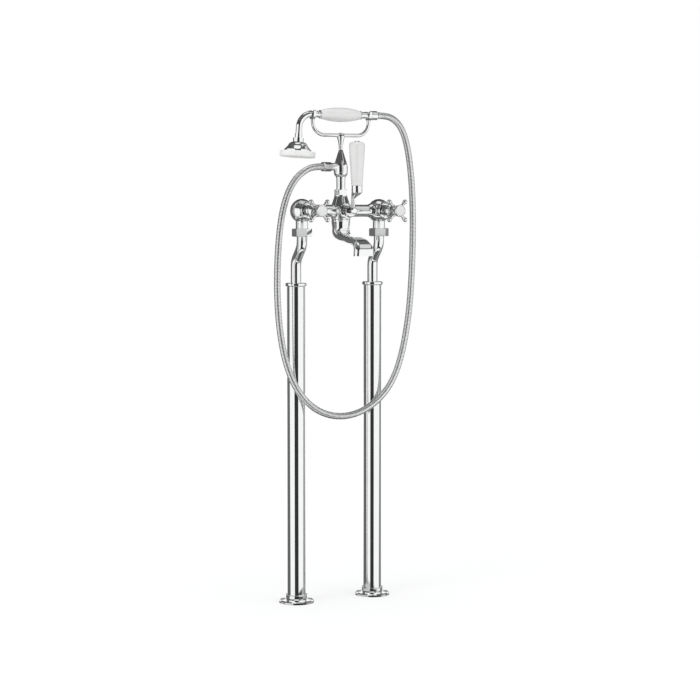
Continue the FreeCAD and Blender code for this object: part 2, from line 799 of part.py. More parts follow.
def cross_handle(name, x):
    """Waisted hub with four turned arms, bored for its spindle, screw and index."""
    rear = "(bonnet_end + handle_gap)"
    at = (x, "-pipe_offset", "valve_height")
    body = new_body(f"{name}_cross_handle", at, FORWARD)
    skirt, neck, hub = "skirt_od/2", "neck_od/2", "hub_od/2"
    hole = "(spindle_od/2 + fit_gap/2)"
    head = "(handle_screw_head_od/2 + 2*screw_gap)"
    through = "(handle_screw_od/2 + screw_gap)"
    hub_profile = [
        (hole, rear),
        (skirt, rear),
        (skirt, f"{rear} + skirt_length", "skirt_od/2", "right"),
        (neck, "neck_forward", "hub_od", "right"),
        ("hub_rear_od/2", "arm_forward"),
        (hub, "hub_front - 2*hub_rim"),
        (hub, "hub_front - hub_rim", "hub_rim", "left"),
        (f"{hub} - hub_rim/2", "hub_front"),
        ("index_od/2 + fit_gap", "hub_front"),
        ("index_od/2 + fit_gap", INDEX_SEAT),
        (head, INDEX_SEAT),
        (head, SCREW_SEAT),
        (through, SCREW_SEAT),
        (through, SOCKET_END),
        (hole, SOCKET_END),
    ]
    revolve(body, outline(new_sketch(body, "XZ_Plane"), hub_profile))
    turn = Rotation(Vector(0, 0, 1), 45)
    arm_sketch = new_sketch(body, "XY_Plane", ("0", "0", "arm_forward"), turn)
    ball, ring_at = "arm_ball_od/2", "(arm_reach - arm_ball_od - arm_ring)"
    arm = [
        ("neck_od/2 - edge_break", "0"),
        ("neck_od/2 - edge_break", "arm_root_od/2"),
        (ring_at, "arm_waist_od/2"),
        (ring_at, "arm_ring_od/2"),
        (f"{ring_at} + arm_ring", "arm_ring_od/2"),
        (f"{ring_at} + arm_ring", "arm_waist_od/2", ball, "right"),
        (f"arm_reach - {ball}", ball, ball, "right"),
        ("arm_reach", "0"),
    ]
    arm_feature = revolve(body, outline(arm_sketch, arm), "H_Axis")
    repeated(body, arm_feature, "arm_count")


def handle_trim(name, x):
    """Fixing screw and the ceramic index that covers it."""
    at = (x, "-pipe_offset", "valve_height")
    shank, head = "handle_screw_od/2", "handle_screw_head_od/2"
    tip = f"({SOCKET_END} - handle_screw_grip + edge_break)"
    turned(
        f"{name}_handle_screw",
        [
            ("0", tip),
            (shank, tip),
            (shank, SCREW_SEAT),
            (head, SCREW_SEAT),
            (head, f"{SCREW_SEAT} + handle_screw_head - edge_break"),
            (f"{head} - edge_break", f"{SCREW_SEAT} + handle_screw_head"),
            ("0", f"{SCREW_SEAT} + handle_screw_head"),
        ],
        at,
        FORWARD,
    )
    edge = "index_od/2"
    turned(
        f"{name}_index",
        [
            ("0", INDEX_SEAT),
            (edge, INDEX_SEAT),
            (edge, "hub_front - index_edge"),
            (f"{edge} - index_slope", "hub_front + index_rise - index_edge"),
            ("0", "hub_front + index_rise"),
        ],
        at,
        FORWARD,
    )


def diverter_lever():
    """Cranked lever: hub on the spindle, stem, flared ferrule, ceramic grip, rod and cap."""
    at = ("0", "-pipe_offset", "valve_height")
    body = new_body("lever_arm", at)
    rear = "(diverter_bonnet_end + handle_gap)"
    radius, hole = "lever_hub_od/2", "(spindle_od/2 + fit_gap/2)"
    hub_sketch = new_sketch(body, "YZ_Plane")
    hub = [
        (f"-{rear}", "0"),
        (f"-{rear}", radius),
        ("soft_edge - lever_hub_front", radius),
        ("-lever_hub_front", f"{radius} - soft_edge"),
        ("-lever_hub_front", "0"),
    ]
    revolve(body, outline(hub_sketch, hub), "H_Axis")
    stem = new_sketch(body, "XY_Plane", ("0", "-lever_stem_forward", "0"))
    waist = new_sketch(body, "XY_Plane", ("0", "-lever_stem_forward", "lever_stem_top"))
    low = new_sketch(body, "XY_Plane", ("0", "-lever_grip_forward", "ferrule_base"))
    ring(stem, "lever_stem_od/2")
    ring(waist, "lever_waist_od/2")
    ring(low, "ferrule_od/2")
    column = feature(body, "AdditiveLoft", stem)
    column.Sections = [(waist, [""])]
    waist_again = ring(
        new_sketch(body, "XY_Plane", ("0", "-lever_stem_forward", "lever_stem_top")), "lever_waist_od/2"
    )
    crank = feature(body, "AdditiveLoft", waist_again)
    crank.Sections = [(low, [""])]
    cap = ring(new_sketch(body, "XY_Plane", ("0", "-lever_grip_forward", "ferrule_base")), "ferrule_od/2")
    feature(body, "Pad", cap, Length="ferrule_top - ferrule_base")
    rod = "lever_rod_od/2"
    rod_sketch = ring(new_sketch(body, "XY_Plane", ("0", "-lever_grip_forward", "ferrule_top")), rod)
    seat = "(grip_crown - lever_cap_seat)"
    feature(body, "Pad", rod_sketch, Length=f"{seat} - ferrule_top - lever_rod_gap")
    bore(body, "XZ_Plane", ("0", "0", rear), hole, "spindle_socket/2", reverse=True)

    at_grip = ("0", "-(pipe_offset + lever_grip_forward)", "valve_height")
    base, top, hollow = "grip_base_od/2", "grip_top_od/2", f"({rod} + fit_gap)"
    turned(
        "lever_grip",
        [
            (hollow, "ferrule_top"),
            (f"{base} - edge_break", "ferrule_top"),
            (base, "ferrule_top + edge_break"),
            (top, "grip_crown - grip_shoulder_radius", "grip_shoulder_radius", "left"),
            (f"{top} - grip_shoulder_radius", "grip_crown"),
            ("lever_cap_od/2 + fit_gap", "grip_crown"),
            ("lever_cap_od/2 + fit_gap", seat),
            (hollow, seat),
        ],
        at_grip,
    )
    turned(
        "lever_cap",
        [
            ("0", seat),
            ("lever_cap_od/2", seat),
            ("lever_cap_od/2", "grip_crown"),
            ("lever_cap_od/2 - soft_edge", "grip_crown + lever_cap_edge"),
            ("0", "grip_crown + lever_cap_rise"),
        ],
        at_grip,
    )


# ---------------------------------------------------------------- spout
def spout():
    """Round root, elbow, flat duck-billed run and a nose that turns down to a wide mouth."""
    run, drop, level = "spout_bend_run", "spout_throat_drop", "spout_level"
    nose, low = "spout_nose_radius", "(spout_level + spout_fall)"
    nose_start = f"(spout_reach - {nose})"
    near, far = "(1 - cos(45))", "cos(45)"
    # forward, down, tilt of the section, width and depth
    root = [
        ("0", "barrel_below", 0, "spout_root_od", "spout_root_od"),
        ("0", "(barrel_below + spout_root_flange)", 0, "spout_root_od", "spout_root_od"),
        ("0", drop, 0, "spout_throat_od", "spout_throat_od"),
    ]
    bill = [
        root[-1],
        (f"({run}*{near})", f"({drop} + ({level} - {drop})*{far})", 45, "spout_throat_od", "spout_bend_depth"),
        (run, level, RUN_TILT, "spout_mid_width", "spout_mid_height"),
        (
            f"(({run} + {nose_start})/2)",
            f"(({level} + {low})/2)",
            RUN_TILT,
            "((spout_mid_width + spout_flat_width)/2)",
            "((spout_mid_height + spout_flat_height)/2)",
        ),
        (nose_start, low, RUN_TILT, "spout_flat_width", "spout_flat_height"),
        (
            f"({nose_start} + {nose}*{far})",
            f"({low} + {nose}*{near})",
            45,
            "spout_nose_width",
            "spout_nose_height",
        ),
        ("spout_reach", f"({low} + {nose})", 0, "spout_mouth_width", "spout_mouth_depth"),
    ]
    mouth = [bill[-1], ("spout_reach", "spout_mouth_drop", 0, "spout_mouth_width", "spout_mouth_depth")]
    body = new_body("spout", ("0", "-pipe_offset", "valve_height"))
    for kind, thinner in (("AdditiveLoft", "0"), ("SubtractiveLoft", "spout_wall")):
        for stations in (root, bill, mouth):
            sections = []
            for forward, down, tilt, width, depth in stations:
                turn = Rotation(Vector(1, 0, 0), -tilt)
                sketch = new_sketch(body, "XY_Plane", ("0", f"-{forward}", f"-{down}"), turn)
                wide, deep = f"({width} - 2*{thinner})", f"({depth} - 2*{thinner})"
                corner = f"({wide}*spout_round)" if width == depth else f"({deep}*spout_corner)"
                sections.append(soft_box(sketch, wide, deep, corner))
            loft = feature(body, kind, sections[0], Ruled=stations is not bill)
            loft.Sections = [(s, [""]) for s in sections[1:]]


def spout_insert():
    """Flow straightener pushed into the spout's mouth: a frame with cross bars."""
    wide = "(spout_mouth_width - 2*spout_wall - 5*fit_gap)"
    deep = "(spout_mouth_depth - 2*spout_wall - 5*fit_gap)"
    at = ("0", "-(pipe_offset + spout_reach)", "valve_height - spout_mouth_drop")
    body = new_body("spout_insert", at)
    frame = soft_box(new_sketch(body, "XY_Plane"), wide, deep, f"({deep}*spout_corner)")
    feature(body, "Pad", frame, Length="insert_height")
    cell = f"(({wide} - 2*insert_wall - 3*insert_bar)/4)"
    for i in range(4):
        left = f"(2*insert_wall - {wide})/2 + {i}*({cell} + insert_bar)"
        sketch = new_sketch(body, "XY_Plane")
        inset = "(insert_wall + insert_corner)" if i in (0, 3) else "insert_wall"
        low, high = f"({inset} - {deep}/2)", f"({deep}/2 - {inset})"
        left, right = f"({left})", f"({left} + {cell})"
        outline(sketch, [(left, low), (right, low), (right, high), (left, high)])
        feature(body, "Pocket", sketch, Length="insert_height", Reversed=True)


# ---------------------------------------------------------------- riser, column and cradle
def riser():
    """Riser tube held by its nut on the barrel's cone."""
    at = ("0", "-pipe_offset", "valve_height + cone_top")
    bores = [("riser_od/2 + fit_gap", "0", "riser_nut_height")]
    hex_nut("riser_nut", at, None, "riser_nut_flats", "riser_nut_height", bores)
    low, high = "(cone_top - riser_seat)", "(column_base + column_socket)"
    inner = "(riser_od/2 - riser_wall)"
    profile = [(inner, low), ("riser_od/2", low), ("riser_od/2", high), (inner, high)]
    turned("riser_tube", profile, ("0", "-pipe_offset", "valve_height"))


def column():
    """Teardrop casting: a round drop with the hose outlet, drawn up to a waist that carries the cradle."""
    body = new_body("column", ("0", "-pipe_offset", COLUMN_BASE))
    neck, belly, waist, top = "column_neck_od/2", "drop_od/2", "waist_od/2", "column_top_od/2"
    belly_low = f"(column_neck + sqrt(drop_round^2 - (drop_round - {belly} + {neck})^2))"
    # The crown's arc starts upright at the belly and runs on into a straight lean, up to the waist.
    upright = "sqrt(crown_radius^2 - crown_rise^2)"
    lean_sin, lean_cos = "(crown_rise/crown_radius)", f"({upright}/crown_radius)"
    crown, crown_top = f"({belly} - crown_radius + {upright})", "(drop_height + crown_rise)"
    lean_end = f"({waist} + waist_round*(1 - {lean_cos}))"
    lean_top = f"({crown_top} + ({crown} - {lean_end})*{lean_cos}/{lean_sin})"
    waist_top = f"({lean_top} + waist_round*{lean_sin})"
    flare_top = "(column_top - column_top_rim)"
    flare_run, flare_rise = f"({top} - {waist})", f"({flare_top} - {waist_top})"
    flare = f"(({flare_run}^2 + {flare_rise}^2)/(2*{flare_run}))"
    shell = [
        ("0", "0"),
        (neck, "0"),
        (neck, "column_neck", "drop_round", "left"),
        (belly, belly_low),
        (belly, "drop_height", "crown_radius", "left"),
        (crown, crown_top),
        (lean_end, lean_top, "waist_round", "right"),
        (waist, waist_top, flare, "right"),
        (top, flare_top),
        (top, "column_top"),
        ("0", "column_top"),
    ]
    revolve(body, outline(new_sketch(body, "XZ_Plane"), shell))
    side = ring(new_sketch(body, "YZ_Plane"), "outlet_spigot_od/2", "0", "outlet_rise")
    feature(body, "Pad", side, Length="outlet_spigot_end", Reversed=True)
    way = [
        ("0", "0"),
        ("riser_od/2 + fit_gap", "0"),
        ("riser_od/2 + fit_gap", "column_socket"),
        ("column_bore/2", "column_socket"),
        ("column_bore/2", "outlet_rise + outlet_bore"),
        ("0", "outlet_rise + outlet_bore"),
    ]
    revolve(body, outline(new_sketch(body, "XZ_Plane"), way), cut=True)
    bore(body, "YZ_Plane", ("0", "0", "0"), "outlet_bore/2", "outlet_spigot_end", "0", "outlet_rise")
    socket = ("0", "0", "column_top")
    bore(body, "XY_Plane", socket, "stub_od/2 + fit_gap/2", "stub_length")


def cradle():
    """One rod bent up at both ends, a fork on each end and a crowned boss on the column."""
    body = new_body("cradle", ("0", "-pipe_offset", ROD_HEIGHT))
    side, bend, rise = "fork_centres/2", "rod_bend", "handset_rise"
    cup = "(handset_neck_od/2 + run_gap)"
    outer = f"({cup} + fork_wall)"
    rod_end = f"({rise} - {cup} - fork_wall/2)"
    path = [
        (f"-{side}", rod_end),
        (f"-{side}", bend, bend, "left"),
        (f"{bend} - {side}", "0"),
        (f"{side} - {bend}", "0", bend, "left"),
        (side, bend),
        (side, rod_end),
    ]
    start = (f"-{side}", "0", rod_end)
    piped(body, path, "rod_od/2", None, start, "XY_Plane", "XZ_Plane")
    rim = "(boss_rim - rod_rise)"
    boss_dome = f"((boss_od^2/4 + (boss_crown - {rim})^2)/(2*(boss_crown - {rim})))"
    boss = [
        ("0", "-rod_rise"),
        ("boss_od/2", "-rod_rise"),
        ("boss_od/2", rim, boss_dome, "left"),
        ("0", "boss_crown"),
    ]
    revolve(body, outline(new_sketch(body, "YZ_Plane"), boss))
    stub = ring(new_sketch(body, "XY_Plane", ("0", "0", "-rod_rise")), "stub_od/2")
    feature(body, "Pad", stub, Length="stub_length - fit_gap", Reversed=True)
    crown = "fork_wall/2"
    tip = f"({rise} + fork_tip - {crown})"
    arm = f"({outer} + fork_flare)"
    for sign in ("-", ""):
        fork = [
            (f"-{outer}", rise, outer, "left"),
            ("0", f"{rise} - {outer}", outer, "left"),
            (outer, rise),
            (arm, tip, crown, "left"),
            (f"{arm} - {crown}", f"{tip} + {crown}", crown, "left"),
            (f"{arm} - fork_wall", tip),
            (cup, rise, cup, "right"),
            ("0", f"{rise} - {cup}", cup, "right"),
            (f"-{cup}", rise),
            (f"fork_wall - {arm}", tip, crown, "left"),
            (f"{crown} - {arm}", f"{tip} + {crown}", crown, "left"),
            (f"-{arm}", tip),
        ]
        sketch = new_sketch(body, "YZ_Plane", ("0", "0", f"{sign}{side}"))
        feature(body, "Pad", outline(sketch, fork), Length="fork_width", Midplane=True)


# ---------------------------------------------------------------- handset
HANDSET = ("0", "-pipe_offset", HANDSET_HEIGHT)


def handset_neck():
    """Gooseneck tube from the grip down to the rose."""
    body = new_body("handset_neck", HANDSET)
    path = [
        (f"-{COLLAR_FRONT}", "0"),
        (f"-{BEND_START}", "0", "gooseneck_radius", "left"),
        (f"-{BEND_END}", f"-{BEND_DROP}"),
        (f"-{ROSE_OUT}", f"-{ROSE_DOWN}"),
    ]
    start = ("0", "0", f"-{COLLAR_FRONT}")
    outer, inner = "handset_neck_od/2", "(handset_neck_od/2 - handset_neck_wall)"
    piped(body, path, outer, inner, start, "YZ_Plane", "XZ_Plane")


def rose():
    """Stepped bell, sealing ring and the pale spray face with its jets."""
    at = (f"-{ROSE_OUT}", "-pipe_offset", f"{HANDSET_HEIGHT} - {ROSE_DOWN}")
    neck, collar, shoulder, bell = (f"rose_{ring}_od/2" for ring in ("neck", "collar", "shoulder", "bell"))
    wall, face = "rose_wall", "face_od/2"
    rim, waterway = f"({bell} - {wall})", "(handset_neck_od/2 - handset_neck_wall)"
    turned(
        "rose_bell",
        [
            (neck, "0"),
            (neck, "-rose_neck_length"),
            (collar, "-rose_neck_length"),
            (collar, "-rose_collar_drop", "rose_dome_radius", "right"),
            (shoulder, "-rose_shoulder_drop", "rose_shoulder_od", "left"),
            (bell, "face_step - rose_bell_drop"),
            (bell, "-rose_bell_drop"),
            (rim, "-rose_bell_drop"),
            (rim, "face_step - rose_bell_drop"),
            (f"{shoulder} - {wall}", f"-(rose_shoulder_drop + {wall})"),
            (f"{collar} - {wall}", f"-(rose_collar_drop + {wall})"),
            (waterway, "-rose_neck_length"),
            (waterway, "0"),
        ],
        at,
        ROSE_TILT,
    )
    top, bottom = "-rose_bell_drop", "-(rose_bell_drop + face_thickness)"
    body = new_body("rose_face", at, ROSE_TILT)
    ledge = "(gasket_od/2 - gasket_ledge)"
    face_profile = [
        ("0", f"{bottom} + face_plate"),
        ("0", bottom),
        (f"{face} - soft_edge", bottom),
        (face, f"{bottom} + soft_edge"),
        (face, f"{top} - edge_break"),
        (f"{face} - edge_break", top),
        ("gasket_od/2", top),
        ("gasket_od/2", f"{top} - gasket_thickness"),
        (ledge, f"{top} - gasket_thickness"),
        (ledge, f"{bottom} + face_plate"),
    ]
    revolve(body, outline(new_sketch(body, "XZ_Plane"), face_profile))
    for pcd, count in (("jet_inner_pcd", "jet_inner_count"), ("jet_outer_pcd", "jet_outer_count")):
        hole = ring(new_sketch(body, "XY_Plane", ("0", "0", bottom)), "jet_bore/2", f"{pcd}/2")
        cut = feature(body, "Pocket", hole, Length="face_plate", Reversed=True)
        repeated(body, cut, count)
    ring_out, low = "(gasket_od/2 - fit_gap)", f"{top} - gasket_thickness"
    ring_in = f"({ring_out} - gasket_width)"
    gasket = [(ring_in, low), (ring_out, low), (ring_out, top), (ring_in, top)]
    turned("rose_gasket", gasket, at, ROSE_TILT)


def handset_grip():
    """Ceramic barrel on a brass core, between a collar and the rear ferrule."""
    belly, tip = "grip_belly/2", "(grip_end_od/2 - edge_break)"
    middle = f"(({GRIP_REAR} - {GRIP_FRONT})/2)"
    sag = "((grip_belly - grip_end_od)/2)"
    half = f"(({GRIP_REAR} + {GRIP_FRONT})/2 - edge_break)"
    radius = f"(({half}^2 + {sag}^2)/(2*{sag}))"
    hole = "grip_bore/2"
    turned(
        "handset_grip",
        [
            (hole, f"-{GRIP_FRONT}"),
            (tip, f"-{GRIP_FRONT}"),
            ("grip_end_od/2", f"edge_break - {GRIP_FRONT}", radius, "left"),
            (belly, middle, radius, "left"),
            ("grip_end_od/2", f"{GRIP_REAR} - edge_break"),
            (tip, GRIP_REAR),
            (hole, GRIP_REAR),
        ],
        HANDSET,
        RIGHT,
    )
    core, inner = "core_od/2", "(core_od/2 - core_wall)"
    lead = "(handset_neck_od/2 - handset_neck_wall - fit_gap)"
    turned(
        "handset_core",
        [
            (inner, f"-({COLLAR_FRONT} + core_lead)"),
            (lead, f"-({COLLAR_FRONT} + core_lead)"),
            (lead, f"-{COLLAR_FRONT}"),
            (core, f"-{COLLAR_FRONT}"),
            (core, FERRULE_END),
            (inner, FERRULE_END),
        ],
        HANDSET,
        RIGHT,
    )
    rim, hole = "front_collar_od/2", "(core_od/2 + fit_gap)"
    waist, round_end = f"({rim} - front_collar_round)", f"-({GRIP_FRONT} + ferrule_bead/2)"
    turned(
        "handset_front_collar",
        [
            (hole, f"-{COLLAR_FRONT}"),
            ("handset_neck_od/2", f"-{COLLAR_FRONT}"),
            (waist, f"ferrule_bead - {COLLAR_FRONT}"),
            (waist, f"{round_end} - front_collar_round", "front_collar_round", "left"),
            (rim, round_end),
            (rim, f"-{GRIP_FRONT}"),
            (hole, f"-{GRIP_FRONT}"),
        ],
        HANDSET,
        RIGHT,
    )
    rim, waist, spigot = "rear_ferrule_od/2", "rear_waist_od/2", "outlet_spigot_od/2"
    turned(
        "handset_rear_ferrule",
        [
            (hole, GRIP_REAR),
            (rim, GRIP_REAR),
            (rim, f"{GRIP_REAR} + ferrule_bead"),
            (waist, f"{GRIP_REAR} + 2*ferrule_bead"),
            (waist, f"{FERRULE_END} - edge_break"),
            ("handset_neck_od/2", FERRULE_END),
            ("handset_neck_od/2", SPIGOT_START),
            (spigot, SPIGOT_START),
            (spigot, SPIGOT_END),
            ("outlet_bore/2", SPIGOT_END),
            ("outlet_bore/2", FERRULE_END),
            (hole, FERRULE_END),
        ],
        HANDSET,
        RIGHT,
    )


# ---------------------------------------------------------------- hose
# Hand-chosen points of the hose's route in the mixer plane: x and height, outlet first.
HOSE_ROUTE = [
    (-43, 906.5),
    (-63, 906.5),
    (-84, 898.5),
    (-106, 880),
    (-124, 849),
    (-137, 805),
    (-145, 735),
    (-147.5, 655),
    (-142, 572),
    (-127, 500),
    (-101, 444),
    (-61, 404),
    (-8, 386),
    (46, 393),
    (94, 421),
    (128, 464),
    (149, 524),
    (163, 600),
    (169.5, 680),
    (172, 765),
    (171.5, 830),
    (168, 885),
    (161, 937),
    (151.5, 973),
    (139.5, 994.5),
    (125.4, 1006.9),
    (108.2, 1013.5),
    (90, 1013.5),
]
ARC_SHARE = 0.45  # of the shorter run beside a point, taken up by the arc there


def hose_path(route, y):
    """Straight runs joined by tangent arcs; also gives the arcs' radii and the path's length."""
    points = [Vector(x, y, z) for x, z in route]
    edges, radii = [], []
    here = points[0]
    for before, corner, after in zip(points, points[1:], points[2:]):
        back, ahead = before - corner, after - corner
        reach = ARC_SHARE * min(back.Length, ahead.Length)
        half_turn = (math.pi - back.getAngle(ahead)) / 2
        radius = reach / math.tan(half_turn)
        into, out = corner + back.normalize() * reach, corner + ahead.normalize() * reach
        inward = (back + ahead).normalize()
        middle = corner + inward * (radius / math.cos(half_turn) - radius)
        edges.append(Part.LineSegment(here, into).toShape())
        edges.append(Part.Arc(into, middle, out).toShape())
        radii.append(radius)
        here = out
    edges.append(Part.LineSegment(here, points[-1]).toShape())
    path = Part.Wire(edges)
    return path, radii, path.Length


def shower_hose():
    """The hanging hose, a plain tube with its bore along the route."""
    path, radii, length = hose_path(HOSE_ROUTE, -value("pipe_offset"))
    start, along = path.Vertexes[0].Point, Vector(-1, 0, 0)
    solids = []
    for radius in (value("hose_od/2"), value("hose_bore/2")):
        section = Part.Wire(Part.Circle(start, along, radius).toShape())
        solids.append(path.makePipeShell([section], True, True))
    hose = doc.addObject("Part::Feature", "shower_hose")
    hose.Label = "shower_hose"
    hose.Shape = solids[0].cut(solids[1])
    hose.Placement = Placement()
    nodes.append(hose)
    section = math.pi * (value("hose_od/2") ** 2 - value("hose_bore/2") ** 2)
    print("hose radii", [round(r) for r in radii], "length", round(length, 1))
    print("hose volume over section x length", round(hose.Shape.Volume / (section * length), 5))


def hose_end(name, at, turn, spigot_end, hose_face):
    """Washer and hose tail between a threaded spigot and the hose; heights run along the hose's way out."""
    inner, outer = "outlet_bore/2", "(outlet_spigot_od/2 - fit_gap)"
    washer_end = f"({spigot_end} + hose_washer)"
    flange_end = f"({washer_end} + tail_flange)"
    profile = [(inner, spigot_end), (outer, spigot_end), (outer, washer_end), (inner, washer_end)]
    turned(f"{name}_washer", profile, at, turn)
    tail, wall = "tail_tube_od/2", "(tail_tube_od/2 - tail_tube_wall)"
    turned(
        f"{name}_hose_tail",
        [
            (wall, washer_end),
            (outer, washer_end),
            (outer, flange_end),
            (tail, flange_end),
            (tail, f"{hose_face} + tail_insert"),
            (wall, f"{hose_face} + tail_insert"),
        ],
        at,
        turn,
    )
    return flange_end


def hose_fittings():
    """The nut at the column's outlet, and the coned nut on the handset."""
    outlet = ("0", "-pipe_offset", OUTLET_HEIGHT)
    flange_end = hose_end("outlet", outlet, LEFT, "outlet_spigot_end", "hose_nut_end")
    nut_start = "(hose_nut_end - hose_nut_length)"
    shoulder = f"({flange_end} - {nut_start})"
    body = hex_nut(
        "outlet_hose_nut",
        (f"-{nut_start}", "-pipe_offset", OUTLET_HEIGHT),
        LEFT,
        "hose_nut_flats",
        "hose_nut_length",
        [
            ("outlet_spigot_od/2 + fit_gap/2", "0", shoulder),
            ("tail_tube_od/2 + fit_gap", shoulder, "hose_nut_length"),
        ],
    )
    collar = new_sketch(body, "XY_Plane", ("0", "0", "hose_nut_length - hose_nut_ring"))
    ring(ring(collar, "hose_nut_ring_od/2"), "tail_tube_od/2 + fit_gap")
    feature(body, "Pad", collar, Length="hose_nut_ring")
    flange_end = hose_end("handset", HANDSET, RIGHT, SPIGOT_END, CONE_NUT_END)
    rim, end = "cone_nut_od/2", "cone_nut_end_od/2"
    thread, hole = "(outlet_spigot_od/2 + fit_gap/2)", "(tail_tube_od/2 + fit_gap)"
    turned(
        "handset_hose_nut",
        [
            ("handset_neck_od/2 + fit_gap", CONE_NUT_START),
            (f"{rim} - cone_nut_edge", CONE_NUT_START),
            (rim, f"{CONE_NUT_START} + cone_nut_edge"),
            (rim, f"{CONE_NUT_END} - cone_nut_sleeve - cone_nut_slope"),
            (end, f"{CONE_NUT_END} - cone_nut_sleeve"),
            (end, CONE_NUT_END),
            (hole, CONE_NUT_END),
            (hole, flange_end),
            (thread, flange_end),
            (thread, f"{SPIGOT_START} - fit_gap"),
            ("handset_neck_od/2 + fit_gap", f"{SPIGOT_START} - fit_gap"),
        ],
        HANDSET,
        RIGHT,
    )


# ---------------------------------------------------------------- build, check and export
for name, x in (("hot", "-pipe_centres/2"), ("cold", "pipe_centres/2")):
    floor_plate(name, x)
    floor_flange(name, x)
    standpipe(name, x)
    standpipe_collar(name, x)
    supply_pipe(name, x)
    union(name, x)
    headwork(name, x, "valve", "bonnet_end", "bonnet_od")
    spindle(f"{name}_spindle", x, SOCKET_END, "handle_screw_grip")
    cross_handle(name, x)
    handle_trim(name, x)
mixer_body()
headwork("diverter", "0", "diverter", "diverter_bonnet_end", "diverter_bonnet_od")
spindle("diverter_spindle", "0", "(diverter_bonnet_end + handle_gap + spindle_socket/2)", None)
diverter_lever()
spout()
spout_insert()
riser()
column()
cradle()
handset_neck()
rose()
handset_grip()
hose_fittings()
shower_hose()

doc.recompute()
for thing in doc.Objects:
    if "Invalid" in thing.State or "Error" in thing.State:
        raise RuntimeError(f"{thing.Name} ({thing.Label}) failed: {thing.State}")
for node in nodes:
    if node.Shape.isNull() or not node.Shape.isValid() or not node.Shape.Solids:
        raise RuntimeError(f"{node.Label} has no valid solid")
for node in nodes:
    node.Shape.exportStep(f"parts/{node.Label}.step")
print(len(nodes), "nodes written")
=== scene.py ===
"""Looks of the floor standing bath filler: finishes, the wound metal hose, studio and camera.

Metres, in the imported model's own frame: +X is the cold side, -Y the front, +Z up.
"""

import json
import math

import bmesh
import bpy
import numpy as np
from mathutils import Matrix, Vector


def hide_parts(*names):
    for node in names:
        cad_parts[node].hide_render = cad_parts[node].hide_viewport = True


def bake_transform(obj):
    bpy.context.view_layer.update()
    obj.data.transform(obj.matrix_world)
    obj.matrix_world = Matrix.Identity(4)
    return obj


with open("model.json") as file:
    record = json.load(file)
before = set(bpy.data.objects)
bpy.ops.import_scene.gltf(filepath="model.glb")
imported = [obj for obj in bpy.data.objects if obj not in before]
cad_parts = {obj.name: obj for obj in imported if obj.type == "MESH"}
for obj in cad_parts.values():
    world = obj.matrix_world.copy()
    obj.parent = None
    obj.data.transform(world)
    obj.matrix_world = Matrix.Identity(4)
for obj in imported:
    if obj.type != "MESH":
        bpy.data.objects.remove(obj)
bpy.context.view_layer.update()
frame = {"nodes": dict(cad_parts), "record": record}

MM = 0.001
PLANE_Y = -28 * MM  # the plane of the mixer, the column and the hose
UP = Vector((0, 0, 1))
scene = bpy.context.scene

# ---------------------------------------------------------------- camera
AZIMUTH, ELEVATION = math.radians(-28), math.radians(4.154)
SENSOR_WIDTH = 36  # mm
CAMERA_LENS = 100.54  # mm
CAMERA_DISTANCE = 4.111
CAMERA_TARGET = Vector((0.0365, 0, 0.524))


def direction(azimuth, elevation):
    """The unit vector from the object towards that azimuth and elevation, in radians."""
    flat = math.cos(elevation)
    return Vector((math.sin(azimuth) * flat, -math.cos(azimuth) * flat, math.sin(elevation)))


def stand_off(thing, aim, towards, distance):
    """Puts a camera or lamp at that distance from its aim, and turns it to face the aim."""
    scene.collection.objects.link(thing)
    thing.location = aim + towards * distance
    thing.rotation_mode = "QUATERNION"
    thing.rotation_quaternion = (-towards).to_track_quat("-Z", "Y")


def make_camera():
    data = bpy.data.cameras.new("camera")
    data.lens = CAMERA_LENS
    data.sensor_width = SENSOR_WIDTH
    camera = bpy.data.objects.new("camera", data)
    stand_off(camera, CAMERA_TARGET, direction(AZIMUTH, ELEVATION), CAMERA_DISTANCE)
    scene.camera = camera


